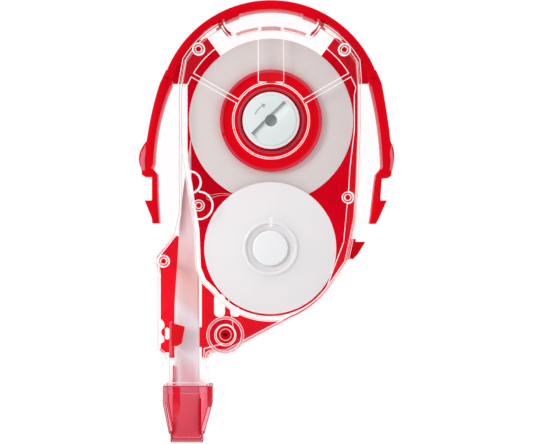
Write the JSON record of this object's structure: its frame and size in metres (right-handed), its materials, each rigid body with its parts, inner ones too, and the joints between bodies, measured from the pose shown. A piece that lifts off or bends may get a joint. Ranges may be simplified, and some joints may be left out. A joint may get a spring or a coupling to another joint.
{
  "type": "correction tape cartridge",
  "caption": "Pull-down correction tape cartridge: geared supply and take-up reels in a red base with snap arms, clear cover, and capped tape blade.",
  "frame": {"origin": "on the supply reel's axis, in the plane of the base plate's back face (the mouth of the hollow spindle)", "axes": "+Z out of the front face along the reel axes, +Y from the blade to the arch, +X to the right seen from the front"},
  "size_m": [0.0509, 0.0883, 0.0122],
  "materials": {
    "red_plastic": "glossy moulded, saturated red",
    "translucent_red": "translucent red, glossy",
    "clear_plastic": "clear, glossy",
    "milky_plastic": "milky, satin",
    "white_plastic": "satin white",
    "tape": "smooth coated white",
    "film": "thin clear release film",
    "felt": "pressed felt",
    "spring_steel": "bright spring steel"
  },
  "bodies": {
    "root": {"base_plate": "red_plastic", "clear_cover": "clear_plastic", "takeup_cap": "white_plastic", "tape_head": "translucent_red", "tape_feed_run": "tape", "film_return_run": "film"},
    "supply_reel": {"supply_core": "milky_plastic", "supply_tape_roll": "tape", "supply_front_flange": "milky_plastic"},
    "drive_gear": {"supply_gear": "red_plastic", "clutch_felt": "felt", "clutch_disc": "red_plastic", "clutch_spring": "spring_steel", "knob": "white_plastic"},
    "takeup_reel": {"takeup_gear": "white_plastic", "takeup_core": "milky_plastic", "takeup_film_roll": "film", "takeup_front_flange": "milky_plastic"},
    "roller": {"guide_roller": "red_plastic"},
    "left_arm": {"left_latch_arm": "red_plastic"},
    "right_arm": {"right_latch_arm": "red_plastic"},
    "cap": {"head_cap": "translucent_red"},
    "backstop": {"backstop_pawl": "red_plastic"}
  },
  "joints": [
    {"name": "supply_reel_spin", "type": "hinge", "parent": "root", "child": "supply_reel", "pos_m": [0, 0, 0], "axis": [0, 0, 1], "continuous": true},
    {"name": "drive_gear_spin", "type": "hinge", "parent": "root", "child": "drive_gear", "pos_m": [0, 0, 0], "axis": [0, 0, 1], "continuous": true},
    {"name": "takeup_reel_spin", "type": "hinge", "parent": "root", "child": "takeup_reel", "pos_m": [-0.00015, -0.0254, 0], "axis": [0, 0, 1], "continuous": true},
    {"name": "guide_roller_spin", "type": "hinge", "parent": "root", "child": "roller", "pos_m": [-0.0091, -0.0427, 0], "axis": [0, 0, 1], "continuous": true},
    {"name": "left_arm_flex", "type": "hinge", "parent": "root", "child": "left_arm", "pos_m": [-0.02075, 0.00775, 0.005], "axis": [0, 0, 1], "range_deg": [0, 4], "stiffness_Nm_per_rad": 0.02},
    {"name": "right_arm_flex", "type": "hinge", "parent": "root", "child": "right_arm", "pos_m": [0.0206, 0.00775, 0.005], "axis": [0, 0, -1], "range_deg": [0, 3.5], "stiffness_Nm_per_rad": 0.02},
    {"name": "cap_pull", "type": "slide", "parent": "root", "child": "cap", "axis": [0, -1, 0], "range_m": [0, 0.012]},
    {"name": "backstop_flex", "type": "hinge", "parent": "root", "child": "backstop", "pos_m": [-0.0124, -0.0152, 0.002], "axis": [0, 0, -1], "range_deg": [0, 4], "stiffness_Nm_per_rad": 0.00005}
  ],
  "couplings": [
    {"joint": "drive_gear_spin", "follows": "supply_reel_spin", "ratio": 0.9625},
    {"joint": "takeup_reel_spin", "follows": "supply_reel_spin", "ratio": -1.6042},
    {"joint": "guide_roller_spin", "follows": "supply_reel_spin", "ratio": 10}
  ]
}
